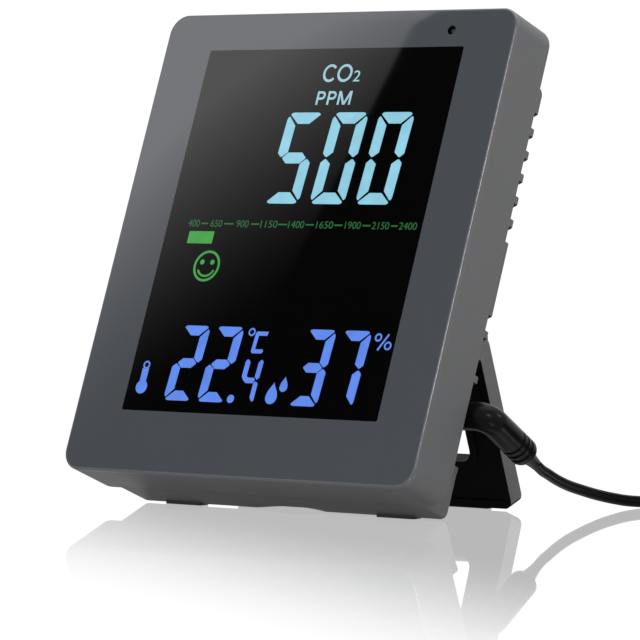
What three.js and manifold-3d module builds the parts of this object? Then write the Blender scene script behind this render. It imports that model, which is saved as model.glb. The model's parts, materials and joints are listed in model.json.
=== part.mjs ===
// Desktop carbon dioxide monitor: a tilted display housing on a fold-out rear stand, with its
// power lead and mains adapter. Millimetres, +Z up, the display faces -Y.
import * as THREE from "three";
import { mergeVertices } from "three/addons/utils/BufferGeometryUtils.js";
import Module from "manifold-3d";

const wasm = await Module();
wasm.setup();

// ---- Driving dimensions -------------------------------------------------------------------
const GAP = 0.3; // clearance between touching pieces
const LEAN = THREE.MathUtils.degToRad(21.4); // the face leans back from the vertical
const WIDTH = 138;
const HEIGHT = 155;
const SHELL_DEPTH = 19; // front face to the back edge of the front shell
const HUMP_DEPTH = 15; // how far the rear cover's hump stands out behind that edge
const BACK = SHELL_DEPTH + HUMP_DEPTH;
const CORNER = 6.5; // corner radius of the face
const WALL = 2.2;
const LENS = 1.7; // thickness of the glossy front panel
const HUMP_INSET = 9.5; // from each side of the shell
const HUMP_TOP = 141.5;
const HUMP_X = WIDTH / 2 - HUMP_INSET;
const HUMP_EDGE = 1.5; // rounding of the hump's rear edges

const WINDOW = { width: 100.6, height: 122, middle: 81.3 };
const INDICATOR = { x: 44.6, z: 147.8, radius: 1.5 };

// Two stacks of cooling slots on each side, and how far in towards the middle they reach.
const SLOT_HEIGHT = 3;
const SLOT_STACKS = [
  { top: 130.2, pitch: 7.55, count: 6, reach: 44 },
  { top: 63.3, pitch: 7.3, count: 4, reach: 52 },
];
const JACK = { y: 25.5, z: 31.3, bore: 3.05, wall: 53.5 };
const RECESS = { low: 17, high: 39 };

const STAND = {
  halfWidth: 54.5,
  thick: 6,
  plate: 2.5,
  rim: 2.8,
  tilt: THREE.MathUtils.degToRad(20), // from the vertical, when deployed
  hingeZ: 60,
  hingeY: BACK + 3.3,
  windowX: 42.5,
  windowLow: 15.5, // above the foot, along the stand
  windowHigh: 42,
};
const LUG = { inner: 43.5, outer: 46.5 };
const PAD = 0.4; // how far the rubber feet stand out below the plastic

const SCREWS = [
  [-61.5, 147.5],
  [61.5, 147.5],
  [-50, 7.5],
  [50, 7.5],
];
const DISPLAY_SCREWS = [
  [-53.6, 15.4],
  [53.6, 15.4],
  [-53.6, 147],
  [53.6, 147],
];
const BOARD_SCREWS = [
  [-38, 76],
  [38, 76],
  [-38, 131],
  [38, 131],
];
const BUTTONS = [-16, 0, 16];
const BUTTON_Z = 122;

const CORD = { diameter: 3.6, sides: 8, steps: 24 };
const COIL = { x: 111, y: 114, inner: 14.3, outer: 25.7, low: 1.2, high: 16.2 };
const ADAPTER = { x: 157.5, y: 112, width: 34, length: 56, thick: 27 };

// ---- Helpers ------------------------------------------------------------------------------
function solid(geometry) {
  const bare = geometry.index ? geometry.toNonIndexed() : geometry.clone();
  for (const name of Object.keys(bare.attributes)) {
    if (name !== "position") bare.deleteAttribute(name);
  }
  const merged = mergeVertices(bare, 1e-4);
  return new wasm.Manifold(
    new wasm.Mesh({
      numProp: 3,
      vertProperties: new Float32Array(merged.attributes.position.array),
      triVerts: new Uint32Array(merged.index.array),
    }),
  );
}

function join(...solids) {
  return solids.reduce((whole, next) => whole.add(next));
}

function cut(whole, ...tools) {
  return tools.reduce((rest, tool) => rest.subtract(tool), whole);
}

function box(x0, x1, y0, y1, z0, z1) {
  const geometry = new THREE.BoxGeometry(x1 - x0, y1 - y0, z1 - z0);
  geometry.translate((x0 + x1) / 2, (y0 + y1) / 2, (z0 + z1) / 2);
  return solid(geometry);
}

// Cylinders along each axis, from one end to the other.
function rodY(radius, y0, y1, x, z, sides = 20) {
  const geometry = new THREE.CylinderGeometry(radius, radius, y1 - y0, sides);
  geometry.translate(x, (y0 + y1) / 2, z);
  return solid(geometry);
}

function rodX(radius, x0, x1, y, z, sides = 20) {
  const geometry = new THREE.CylinderGeometry(radius, radius, x1 - x0, sides);
  geometry.rotateZ(Math.PI / 2);
  geometry.translate((x0 + x1) / 2, y, z);
  return solid(geometry);
}

function rodZ(radius, z0, z1, x, y, sides = 20) {
  const geometry = new THREE.CylinderGeometry(radius, radius, z1 - z0, sides);
  geometry.rotateX(Math.PI / 2);
  geometry.translate(x, y, (z0 + z1) / 2);
  return solid(geometry);
}

function roundedOutline(width, height, radius, arc = 5) {
  const points = [];
  const corners = [
    [1, 1, 0],
    [-1, 1, 90],
    [-1, -1, 180],
    [1, -1, 270],
  ];
  for (const [sx, sz, start] of corners) {
    for (let i = 0; i <= arc; i++) {
      const angle = THREE.MathUtils.degToRad(start + (90 * i) / arc);
      points.push([
        sx * (width / 2 - radius) + radius * Math.cos(angle),
        sz * (height / 2 - radius) + radius * Math.sin(angle),
      ]);
    }
  }
  return points;
}

// A body through a stack of rounded rectangles: each section is [y, inset], front to back.
function loft(width, height, radius, x, z, sections, arc = 5) {
  const rings = sections.map(([y, inset]) =>
    roundedOutline(width - 2 * inset, height - 2 * inset, radius - inset, arc).map(([px, pz]) => [
      x + px,
      y,
      z + pz,
    ]),
  );
  const count = rings[0].length;
  const positions = rings.flat(2);
  const index = [];
  for (let r = 0; r < rings.length - 1; r++) {
    for (let i = 0; i < count; i++) {
      const a = r * count + i;
      const b = r * count + ((i + 1) % count);
      index.push(a, a + count, b, b, a + count, b + count);
    }
  }
  const last = (rings.length - 1) * count;
  for (let i = 1; i < count - 1; i++) {
    index.push(0, i, i + 1);
    index.push(last, last + i + 1, last + i);
  }
  const geometry = new THREE.BufferGeometry();
  geometry.setAttribute("position", new THREE.Float32BufferAttribute(positions, 3));
  geometry.setIndex(index);
  return solid(geometry);
}

// A turned body about the vertical through (x, y).
function turned(profile, sides = 24) {
  const points = profile.map(([r, z]) => new THREE.Vector2(r, z));
  const geometry = new THREE.LatheGeometry(points, sides);
  geometry.rotateX(Math.PI / 2);
  return geometry;
}

function material(color, roughness, metalness = 0) {
  return { color, roughness, metalness };
}

function piece(parent, name, body, finish) {
  const mesh = body.getMesh();
  const geometry = new THREE.BufferGeometry();
  geometry.setAttribute("position", new THREE.Float32BufferAttribute(mesh.vertProperties, 3));
  geometry.setIndex(Array.from(mesh.triVerts));
  geometry.computeVertexNormals();
  const made = new THREE.Mesh(geometry, new THREE.MeshStandardMaterial(finish));
  made.name = name;
  parent.add(made);
  return made;
}

const GLOSS_GREY = material(0x4d5057, 0.12);
const CHARCOAL = material(0x646567, 0.55);
const BLACK_PLASTIC = material(0x141414, 0.45);
const SMOKED = material(0x050506, 0.08);
const WHITE_PLASTIC = material(0xe8e8e4, 0.5);
const BOARD_GREEN = material(0x1f5a38, 0.5);
const STEEL = material(0xb8babd, 0.3, 1);
const NICKEL = material(0xc9c9c6, 0.22, 1);
const RUBBER = material(0x1b1b1b, 0.9);
const GOLD_BOX = material(0xc9a14a, 0.35, 1);

const root = new THREE.Group();
const housing = new THREE.Group(); // x across, y depth behind the face, z up the face
root.add(housing);

// The lowest plastic is the rounded rear edge under the hump.
const EDGE_R = 2.5;
const lowestPlastic = (BACK - EDGE_R) * -Math.sin(LEAN) + EDGE_R * Math.cos(LEAN) - EDGE_R;
housing.rotation.x = -LEAN;
housing.position.z = PAD - lowestPlastic;
housing.updateMatrixWorld(true);

// Height above the table of a point of the housing's own frame, and the way back.
const toWorld = (x, y, z) => new THREE.Vector3(x, y, z).applyMatrix4(housing.matrixWorld);

// ---- Front ---------------------------------------------------------------------------------
function frontLens() {
  const panel = loft(WIDTH, HEIGHT, CORNER, 0, HEIGHT / 2, [
    [0, 0.8],
    [0.12, 0.42],
    [0.42, 0.12],
    [0.8, 0],
    [LENS, 0],
  ]);
  return cut(panel, rodY(INDICATOR.radius, -1, LENS + 1, INDICATOR.x, INDICATOR.z));
}

function frontShell() {
  const front = LENS + GAP;
  const floor = front + 2;
  const outer = loft(WIDTH, HEIGHT, CORNER, 0, HEIGHT / 2, [
    [front, 0.15],
    [front + 0.4, 0],
    [SHELL_DEPTH - 0.5, 0],
    [SHELL_DEPTH, 0.5],
  ]);
  const inside = loft(WIDTH - 2 * WALL, HEIGHT - 2 * WALL, CORNER - WALL, 0, HEIGHT / 2, [
    [floor, 0],
    [SHELL_DEPTH + 1, 0],
  ]);
  const { width, height, middle } = WINDOW;
  const opening = box(
    -width / 2, width / 2,
    front - 1, floor + 1,
    middle - height / 2, middle + height / 2,
  );
  const shell = cut(outer, inside, opening);
  const bosses = SCREWS.map(([x, z]) => rodY(3.5, floor - 0.5, 14, x, z));
  const pins = DISPLAY_SCREWS.map(([x, z]) => rodY(2.2, floor - 0.5, 11.1, x, z, 16));
  const holes = [
    ...SCREWS.map(([x, z]) => rodY(1.6, 6, 15, x, z, 16)),
    ...DISPLAY_SCREWS.map(([x, z]) => rodY(1.1, 6, 12, x, z, 12)),
    rodY(INDICATOR.radius, 0, floor + 1, INDICATOR.x, INDICATOR.z),
  ];
  return cut(join(shell, ...bosses, ...pins), ...holes);
}

piece(housing, "front_lens", frontLens(), GLOSS_GREY);
piece(housing, "front_shell", frontShell(), CHARCOAL);

// ---- Display stack -------------------------------------------------------------------------
const STACK = { filter: [4.3, 4.8], module: [5.1, 11.1], board: [11.4, 13] };

piece(
  housing,
  "display_filter",
  loft(106, 127, 2, 0, WINDOW.middle, STACK.filter.map((y) => [y, 0]), 2),
  SMOKED,
);
piece(
  housing,
  "segment_module",
  loft(101, 124, 1.5, 0, WINDOW.middle, STACK.module.map((y) => [y, 0]), 2),
  BLACK_PLASTIC,
);

function displayBoard() {
  const board = loft(113, 137, 2, 0, 81.3, STACK.board.map((y) => [y, 0]), 2);
  const holes = DISPLAY_SCREWS.map(([x, z]) => rodY(1.3, 10, 14, x, z, 12));
  return cut(board, ...holes);
}

piece(housing, "display_board", displayBoard(), BOARD_GREEN);

// A pan-head screw along Y: the outer face of its head, the face under the head, and its tip.
function smallScrew(headRadius, shaftRadius, [face, under, tip], [x, z]) {
  const start = under + 0.2 * Math.sign(face - under);
  return join(
    rodY(headRadius, Math.min(face, under), Math.max(face, under), x, z, 16),
    rodY(shaftRadius, Math.min(start, tip), Math.max(start, tip), x, z, 12),
  );
}

DISPLAY_SCREWS.forEach(([x, z], i) => {
  const screw = smallScrew(2.2, 0.8, [14.8, 13.3, 7], [x, z]);
  piece(housing, "display_screw_" + (i + 1), screw, STEEL);
});

piece(housing, "status_led", box(43.1, 46.1, 8.3, 11.1, 146.2, 149), WHITE_PLASTIC);

function lightPipe() {
  const dome = [
    [0, 0],
    [0.55, 0.1],
    [0.95, 0.35],
    [1.2, 0.75],
    [1.2, 7.6],
    [0, 7.6],
  ];
  const points = dome.map(([r, y]) => new THREE.Vector2(r, -y)).reverse();
  const geometry = new THREE.LatheGeometry(points, 16);
  geometry.rotateX(Math.PI);
  return solid(geometry).translate(INDICATOR.x, 0.4, INDICATOR.z);
}

piece(housing, "light_pipe", lightPipe(), SMOKED);

// ---- Rear cover ----------------------------------------------------------------------------
const COVER_FRONT = 17.2;
const SKIN = 2; // wall of the hump
const SEAM = SHELL_DEPTH + GAP;

function louvres() {
  const cuts = [];
  for (const side of [-1, 1]) {
    for (const { top, pitch, count, reach } of SLOT_STACKS) {
      const [x0, x1] = [side * reach, side * (HUMP_X + 2)].sort((a, b) => a - b);
      for (let i = 0; i < count; i++) {
        const z = top - i * pitch;
        cuts.push(box(x0, x1, SEAM + 0.9, BACK + 2, z - SLOT_HEIGHT / 2, z + SLOT_HEIGHT / 2));
      }
    }
  }
  return cuts;
}

function humpOutline() {
  // Section across the depth, extruded along X: rounded at the rear top and rear bottom.
  const shape = new THREE.Shape();
  shape.moveTo(SEAM, 0);
  shape.lineTo(BACK - EDGE_R, 0);
  shape.absarc(BACK - EDGE_R, EDGE_R, EDGE_R, -Math.PI / 2, 0, false);
  shape.lineTo(BACK, HUMP_TOP - EDGE_R);
  shape.absarc(BACK - EDGE_R, HUMP_TOP - EDGE_R, EDGE_R, 0, Math.PI / 2, false);
  shape.lineTo(SEAM, HUMP_TOP);
  shape.closePath();
  return shape;
}

function alongX(shape, x0, x1, segments = 6) {
  const geometry = new THREE.ExtrudeGeometry(shape, {
    depth: x1 - x0,
    bevelEnabled: false,
    curveSegments: segments,
  });
  // shape x becomes y, shape y becomes z, and the extrusion becomes x
  geometry.applyMatrix4(
    new THREE.Matrix4().makeBasis(
      new THREE.Vector3(0, 1, 0),
      new THREE.Vector3(0, 0, 1),
      new THREE.Vector3(1, 0, 0),
    ),
  );
  geometry.translate(x0, 0, 0);
  return solid(geometry);
}

function humpBody() {
  const whole = alongX(humpOutline(), -HUMP_X, HUMP_X);
  // A plan section trims the two upright rear edges round.
  const plan = loft(2 * HUMP_X, 400, 1, 0, 70, [
    [SEAM - 5, 0],
    [BACK - HUMP_EDGE, 0],
    [BACK - HUMP_EDGE * 0.5, HUMP_EDGE * 0.134],
    [BACK - HUMP_EDGE * 0.134, HUMP_EDGE * 0.5],
    [BACK, 0.999],
  ], 1);
  return whole.intersect(plan);
}

function hingeLugs() {
  const { hingeY, hingeZ } = STAND;
  const lugs = [];
  for (const side of [-1, 1]) {
    const x0 = Math.min(side * LUG.inner, side * LUG.outer);
    const x1 = Math.max(side * LUG.inner, side * LUG.outer);
    lugs.push(rodX(3, x0, x1, hingeY, hingeZ, 24));
    lugs.push(box(x0, x1, BACK - 1, hingeY, hingeZ - 3, hingeZ + 3));
  }
  return lugs;
}

function footPocket(side, grow) {
  // The foot pads lie level with the table under the hump's lowest edge.
  const centre = toWorld(0, BACK - EDGE_R, EDGE_R);
  const pad = new THREE.BoxGeometry(14 + 2 * grow, 4 + 2 * grow, 1.6 + grow);
  pad.translate(side * 42, centre.y, 0.8 + grow / 2);
  pad.applyMatrix4(housing.matrixWorld.clone().invert());
  return solid(pad);
}

function rearCover() {
  const margin = 2 * (WALL + GAP);
  const plate = loft(WIDTH - margin, HEIGHT - margin, CORNER - WALL, 0, HEIGHT / 2, [
    [COVER_FRONT, 0],
    [SHELL_DEPTH, 0],
  ]);
  const bridge = box(-HUMP_X, HUMP_X, SHELL_DEPTH - 0.5, SEAM + 0.5, 4.5, HUMP_TOP - 1);
  const hollow = box(
    -HUMP_X + SKIN, HUMP_X - SKIN,
    COVER_FRONT - 1, BACK - SKIN,
    WALL + 3, HUMP_TOP - SKIN,
  );
  const shell = cut(join(plate, bridge, humpBody()), hollow);

  const { low, high } = RECESS;
  const jackBlock = box(
    JACK.wall - SKIN, HUMP_X - 0.2,
    SHELL_DEPTH - 1, BACK - 0.5,
    low - SKIN, high + SKIN,
  );
  const jackRecess = box(JACK.wall, HUMP_X + 5, SEAM + 0.6, BACK + 5, low, high);
  const jackHole = rodX(3.2, JACK.wall - 5, JACK.wall + 5, JACK.y, JACK.z);

  const pads = SCREWS.map(([x, z]) => rodY(4.2, 14.3, z > 75 ? 18.5 : BACK - 0.5, x, z));
  const wells = SCREWS.map(([x, z]) => rodY(3.2, 16.6, BACK + 5, x, z));
  const holes = SCREWS.map(([x, z]) => rodY(1.7, 10, 20, x, z, 16));
  const posts = BOARD_SCREWS.map(([x, z]) => rodY(3, 22, BACK - 1, x, z, 16));
  const postHoles = BOARD_SCREWS.map(([x, z]) => rodY(1.1, 21, 29, x, z, 12));
  const buttonHoles = BUTTONS.map((x) =>
    loft(11, 7, 3.4, x, BUTTON_Z, [
      [BACK - SKIN - 3, 0],
      [BACK + 1, 0],
    ]),
  );

  // A shallow arch under the rear edge lets a finger pull the stand out.
  const arch = new THREE.CylinderGeometry(67, 67, 9, 96);
  arch.translate(0, BACK - 1, -65.4);
  const fingerArch = solid(arch);

  const pinHole = rodX(1.5, -80, 80, STAND.hingeY, STAND.hingeZ, 16);
  const body = join(shell, jackBlock, ...pads, ...posts, ...hingeLugs());
  return cut(
    body,
    jackRecess, jackHole, ...wells, ...holes, ...postHoles, ...buttonHoles,
    ...louvres(), fingerArch, pinHole, footPocket(-1, GAP), footPocket(1, GAP),
  );
}

piece(housing, "rear_cover", rearCover(), CHARCOAL);

SCREWS.forEach(([x, z], i) => {
  const screw = smallScrew(2.7, 1.3, [18.7, 16.9, 7.5], [x, z]);
  piece(housing, "case_screw_" + (i + 1), screw, STEEL);
});
for (const [side, name] of [[-1, "left"], [1, "right"]]) {
  piece(housing, "housing_foot_" + name, footPocket(side, 0), RUBBER);
}

// ---- Electronics behind the display ---------------------------------------------------------
const BOARD = [20.1, 21.7];
const TOP = BOARD[1] + GAP; // parts on the board's rear side start here

function mainBoard() {
  const board = loft(86, 66, 2, 0, 103.5, BOARD.map((y) => [y, 0]), 2);
  return cut(board, ...BOARD_SCREWS.map(([x, z]) => rodY(1.3, 19, 23, x, z, 12)));
}

piece(housing, "main_board", mainBoard(), BOARD_GREEN);
BOARD_SCREWS.forEach(([x, z], i) => {
  const screw = smallScrew(2.2, 0.8, [18.3, 19.8, 27], [x, z]);
  piece(housing, "board_screw_" + (i + 1), screw, STEEL);
});

piece(housing, "board_connector", box(-13, 13, 13.3, 19.8, 84, 86.6), BLACK_PLASTIC);
piece(housing, "sensor_board", box(-33, 1, TOP, TOP + 1, 86, 108), BOARD_GREEN);

function gasChamber() {
  const y0 = TOP + 1 + GAP;
  const body = loft(30, 17, 2.5, -16, 97, [
    [y0, 0],
    [y0 + 6, 0],
    [y0 + 6.6, 0.6],
  ]);
  return cut(body, rodY(3.4, y0 + 4.6, y0 + 8, -22, 97));
}

piece(housing, "gas_chamber", gasChamber(), GOLD_BOX);
piece(housing, "gas_membrane", rodY(3, TOP + 6.3, TOP + 7.5, -22, 97), WHITE_PLASTIC);
const soundHole = rodY(1, TOP + 5, TOP + 9, 22, 84, 12);
piece(housing, "buzzer", cut(rodY(6, TOP, TOP + 8, 22, 84), soundHole), BLACK_PLASTIC);
piece(housing, "controller_chip", box(12, 22, TOP, TOP + 1.4, 98, 108), BLACK_PLASTIC);
[94, 104].forEach((z, i) => {
  piece(housing, "capacitor_" + (i + 1), rodY(3.2, TOP, TOP + 8, 33, z), NICKEL);
});
piece(housing, "climate_board", box(-55, -47, 24, 25, 44, 62), BOARD_GREEN);
piece(housing, "climate_sensor", box(-53, -49, 25.3, 26.8, 50, 54), BLACK_PLASTIC);

function dcJack() {
  const x1 = JACK.wall - SKIN - GAP;
  const body = box(x1 - 13, x1, JACK.y - 5, JACK.y + 5.2, JACK.z - 5.4, JACK.z + 5.4);
  const bore = rodX(JACK.bore, x1 - 9.5, x1 + 1, JACK.y, JACK.z);
  const centrePin = rodX(0.9, x1 - 10, x1 - 1.5, JACK.y, JACK.z, 12);
  return join(cut(body, bore), centrePin);
}

piece(housing, "dc_jack", dcJack(), BLACK_PLASTIC);

// ---- Push buttons on the back ---------------------------------------------------------------
function buttonCap(x) {
  const cap = loft(10.2, 6.2, 3, x, BUTTON_Z, [
    [BACK - SKIN - 1.2, 0],
    [BACK + 0.5, 0],
    [BACK + 0.9, 0.25],
    [BACK + 1, 0.6],
  ]);
  const flange = loft(13, 9, 3, x, BUTTON_Z, [
    [BACK - SKIN - GAP - 1.2, 0],
    [BACK - SKIN - GAP, 0],
  ]);
  return join(cap, flange, rodY(1.6, 27.9, BACK - SKIN - 1, x, BUTTON_Z, 16));
}

function tactSwitch(x) {
  const body = box(x - 3, x + 3, TOP, TOP + 3.8, BUTTON_Z - 3, BUTTON_Z + 3);
  return join(body, rodY(1.7, TOP + 3, 27.1, x, BUTTON_Z, 16));
}

BUTTONS.forEach((x, i) => {
  piece(housing, "button_" + (i + 1), buttonCap(x), CHARCOAL);
  piece(housing, "button_switch_" + (i + 1), tactSwitch(x), BLACK_PLASTIC);
});

// ---- Stand -----------------------------------------------------------------------------------
// Its own frame: the hinge is the origin, the stand hangs down -z, and +y faces away from the housing.
const stand = new THREE.Group();
const hinge = toWorld(0, STAND.hingeY, STAND.hingeZ);
stand.position.copy(hinge);
stand.rotation.x = STAND.tilt;
root.add(stand);
stand.updateMatrixWorld(true);
const HALF = STAND.thick / 2;
// The front lower corner reaches down to the pads' clearance above the table.
const REACH = (hinge.z - PAD - HALF * Math.sin(STAND.tilt)) / Math.cos(STAND.tilt);

function standBody() {
  const { halfWidth, plate, rim, windowX, windowLow, windowHigh } = STAND;
  const outer = loft(2 * halfWidth, REACH, 3, 0, -REACH / 2, [
    [-HALF, 0],
    [HALF, 0],
  ], 3);
  const barrel = rodX(HALF, -halfWidth, halfWidth, 0, 0, 24);
  const low = -REACH + windowLow;
  const high = -REACH + windowHigh;
  const middle = (low + high) / 2;
  const tray = box(-halfWidth + 2.4, halfWidth - 2.4, -HALF + plate, HALF + 1, -REACH + 2.6, -4.5);
  const frame = loft(2 * windowX + 2 * rim, high - low + 2 * rim, 6, 0, middle, [
    [-HALF + 0.4, 0],
    [HALF, 0],
  ], 4);
  const frontRim = loft(2 * windowX + 2 * rim, high - low + 2 * rim, 6, 0, middle, [
    [-HALF, 0],
    [-HALF + 1, 0],
  ], 4);
  const face = box(-halfWidth + 2.4, halfWidth - 2.4, -HALF - 1, -HALF + 0.4, -REACH + 2.6, -4.5);
  const opening = loft(2 * windowX, high - low, 4, 0, middle, [
    [-HALF - 1, 0],
    [HALF + 1, 0],
  ], 4);
  const lugGaps = [-1, 1].map((side) => {
    const inner = side * (LUG.inner - GAP - 0.1);
    const wide = side * (LUG.outer + GAP + 0.1);
    return box(Math.min(inner, wide), Math.max(inner, wide), -10, 10, -4.4, 10);
  });
  const ribs = [-48, 48].map((x) => box(x - 0.8, x + 0.8, -HALF + 1, HALF - 1, -REACH + 2, -4));
  const bevel = new THREE.BoxGeometry(400, 20, 20);
  bevel.translate(0, 10, -10);
  bevel.rotateX(THREE.MathUtils.degToRad(-33));
  bevel.translate(0, HALF - 4.2, -REACH);
  const pinHoles = rodX(1.5, -51, 51, 0, 0, 16);
  const body = join(cut(outer, tray, face), frame, frontRim, barrel, ...ribs);
  return cut(body, opening, ...lugGaps, solid(bevel), pinHoles, footSlot(-1, GAP), footSlot(1, GAP));
}

function footSlot(side, grow) {
  // Pads under the stand, level with the table at the deployed angle.
  const corner = new THREE.Vector3(0, -HALF, -REACH).applyMatrix4(stand.matrixWorld);
  const pad = new THREE.BoxGeometry(16 + 2 * grow, 2.2 + 2 * grow, 1.6 + grow);
  pad.translate(side * 36, corner.y + 2.2, 0.8 + grow / 2);
  pad.applyMatrix4(stand.matrixWorld.clone().invert());
  return solid(pad);
}

piece(stand, "stand", standBody(), CHARCOAL);
for (const [side, name] of [[-1, "left"], [1, "right"]]) {
  piece(stand, "stand_foot_" + name, footSlot(side, 0), RUBBER);
  const ends = [side * (LUG.inner - 3.6), side * (LUG.outer + 3.6)].sort((a, b) => a - b);
  piece(stand, "hinge_pin_" + name, rodX(1.2, ends[0], ends[1], 0, 0, 16), STEEL);
}

// ---- Power plug, lead and adapter ------------------------------------------------------------
const PLUG = { radius: 4.5, elbowX: 72, droop: THREE.MathUtils.degToRad(10.6), handle: 24 };

function plugBody() {
  const start = JACK.wall + GAP;
  const leg = rodX(PLUG.radius, start, PLUG.elbowX, 0, 0, 24);
  const ball = solid(new THREE.SphereGeometry(PLUG.radius, 24, 16));
  const handle = turned([
    [0, 0],
    [PLUG.radius, 0],
    [PLUG.radius, PLUG.handle - 7],
    [PLUG.radius - 0.35, PLUG.handle - 6.4],
    [PLUG.radius - 0.35, PLUG.handle - 5.6],
    [PLUG.radius, PLUG.handle - 5],
    [PLUG.radius, PLUG.handle - 1.6],
    [PLUG.radius - 1.2, PLUG.handle],
    [0, PLUG.handle],
  ]);
  // from along +z to along +y, then down by the droop
  handle.rotateX(-Math.PI / 2 - PLUG.droop);
  return join(
    leg,
    ball.translate(PLUG.elbowX, 0, 0),
    solid(handle).translate(PLUG.elbowX, 0, 0),
  ).translate(0, JACK.y, JACK.z);
}

function plugBarrel() {
  const tube = rodX(2.75, JACK.wall - 9.8, JACK.wall, JACK.y, JACK.z);
  return cut(tube, rodX(1.25, JACK.wall - 11, JACK.wall - 1, JACK.y, JACK.z, 12));
}

function alongHandle(distance) {
  return toWorld(
    PLUG.elbowX,
    JACK.y + distance * Math.cos(PLUG.droop),
    JACK.z - distance * Math.sin(PLUG.droop),
  );
}

const RELIEF = 6;

function plugRelief() {
  const cone = turned([
    [0, PLUG.handle + GAP],
    [2.7, PLUG.handle + GAP],
    [2, PLUG.handle + RELIEF],
    [0, PLUG.handle + RELIEF],
  ]);
  cone.rotateX(-Math.PI / 2 - PLUG.droop);
  return solid(cone).translate(PLUG.elbowX, JACK.y, JACK.z);
}

piece(housing, "dc_plug_body", plugBody(), BLACK_PLASTIC);
piece(housing, "dc_plug_barrel", plugBarrel(), NICKEL);
piece(housing, "plug_strain_relief", plugRelief(), BLACK_PLASTIC);

const lead = new THREE.Group();
root.add(lead);
const FLOOR = CORD.diameter / 2 + 0.15;
const start = alongHandle(PLUG.handle + RELIEF + GAP);
const heading = alongHandle(1).sub(alongHandle(0));

function strand(points) {
  const section = new THREE.Shape();
  for (let i = 0; i < CORD.sides; i++) {
    const angle = (2 * Math.PI * (i + 0.5)) / CORD.sides;
    const radius = CORD.diameter / 2;
    const at = [radius * Math.cos(angle), radius * Math.sin(angle)];
    if (i) section.lineTo(...at);
    else section.moveTo(...at);
  }
  section.closePath();
  const path = new THREE.CatmullRomCurve3(points, false, "centripetal");
  const options = { extrudePath: path, steps: CORD.steps, bevelEnabled: false };
  return solid(new THREE.ExtrudeGeometry(section, options));
}

// The route from the plug down to the table and along it to the coil.
const OUT_ROUTE = [
  [72.0, 66.4, 12.9],
  [72.1, 71.6, 10.6],
  [72.3, 77.5, 8.5],
  [72.8, 84.0, 6.7],
  [73.8, 90.4, 5.0],
  [75.6, 96.8, 3.5],
  [78.4, 103.2, 2.3],
  [82.4, 109.6, FLOOR],
];
// From the top of the coil down to the table and round into the adapter.
const IN_ROUTE = [
  [134.9, 97.0, 12.2],
  [134.0, 90.5, 8.6],
  [133.0, 83.5, 4.8],
  [133.0, 75.0, 2.4],
  [136.6, 65.3, FLOOR],
  [145.2, 61.6, FLOOR],
  [153.6, 65.3, 3.6],
  [157.3, 71.2, 5.8],
  [157.5, 75.2, 7.0],
];

function vectors(rows) {
  return rows.map((row) => new THREE.Vector3(...row));
}

const leadOut = [start, start.clone().addScaledVector(heading, 4), ...vectors(OUT_ROUTE)];
piece(lead, "cord", strand(leadOut), BLACK_PLASTIC);
piece(lead, "cord_tail", strand(vectors(IN_ROUTE)), BLACK_PLASTIC);

function coilRing() {
  const { x, y, inner, outer, low, high } = COIL;
  const ring = turned([
    [inner, low],
    [outer, low],
    [outer, high],
    [inner, high],
    [inner, low],
  ], 32);
  return solid(ring).translate(x, y, 0);
}

function coilTie() {
  const { x, y, inner, outer, low, high } = COIL;
  const half = 4;
  const thick = 0.8;
  const near = y + Math.sqrt(inner * inner - half * half) - GAP;
  const far = y + outer + GAP;
  const band = box(x - half, x + half, near - thick, far + thick, low - GAP - thick, high + GAP + thick);
  return cut(band, box(x - half - 1, x + half + 1, near, far, low - GAP, high + GAP));
}

piece(lead, "cord_coil", coilRing(), BLACK_PLASTIC);
piece(lead, "cord_tie", coilTie(), BLACK_PLASTIC);

function block(width, length, radius, x, y, sections) {
  // The loft stands upright: its depth axis becomes the vertical.
  const flat = loft(width, length, radius, 0, 0, sections, 4);
  return flat.rotate(90, 0, 0).translate(x, y, 0);
}

const SPLIT = 12;
const adapterLow = block(ADAPTER.width, ADAPTER.length, 5, ADAPTER.x, ADAPTER.y, [
  [0, 1.2],
  [1.2, 0],
  [SPLIT, 0],
]);
const adapterHigh = block(ADAPTER.width, ADAPTER.length, 5, ADAPTER.x, ADAPTER.y, [
  [SPLIT + GAP, 0],
  [ADAPTER.thick - 1.2, 0],
  [ADAPTER.thick, 1.2],
]);
piece(lead, "adapter_base", adapterLow, BLACK_PLASTIC);
piece(lead, "adapter_cover", adapterHigh, BLACK_PLASTIC);
[-1, 1].forEach((side, i) => {
  const low = ADAPTER.thick + GAP;
  const pin = rodZ(2, low, low + 18.7, ADAPTER.x + side * 9.5, ADAPTER.y + 12, 16);
  piece(lead, "adapter_pin_" + (i + 1), pin, NICKEL);
});
const reliefEnd = ADAPTER.y - ADAPTER.length / 2 - GAP;
const adapterRelief = turned([
  [0, 0],
  [2.1, 0],
  [3.4, 7.9],
  [0, 7.9],
], 16);
adapterRelief.rotateX(-Math.PI / 2);
const adapterGrip = solid(adapterRelief).translate(ADAPTER.x, reliefEnd - 8, 7);
piece(lead, "adapter_relief", adapterGrip, BLACK_PLASTIC);

// ---- Origin: on the table, under the middle of the monitor -----------------------------------
const CORD_PIECES = /^(cord|dc_plug|plug_|adapter)/;
root.updateMatrixWorld(true);
const bounds = new THREE.Box3();
root.traverse((node) => {
  if (node.isMesh && !CORD_PIECES.test(node.name)) bounds.expandByObject(node, true);
});
const centre = bounds.getCenter(new THREE.Vector3());
root.position.set(-centre.x, -centre.y, -bounds.min.z);

export default root;
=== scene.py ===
"""A desk monitor for carbon dioxide, temperature and humidity, on its stand, with its power lead."""

import json
import math

import bmesh
import bpy
from mathutils import Matrix, Vector


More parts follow.
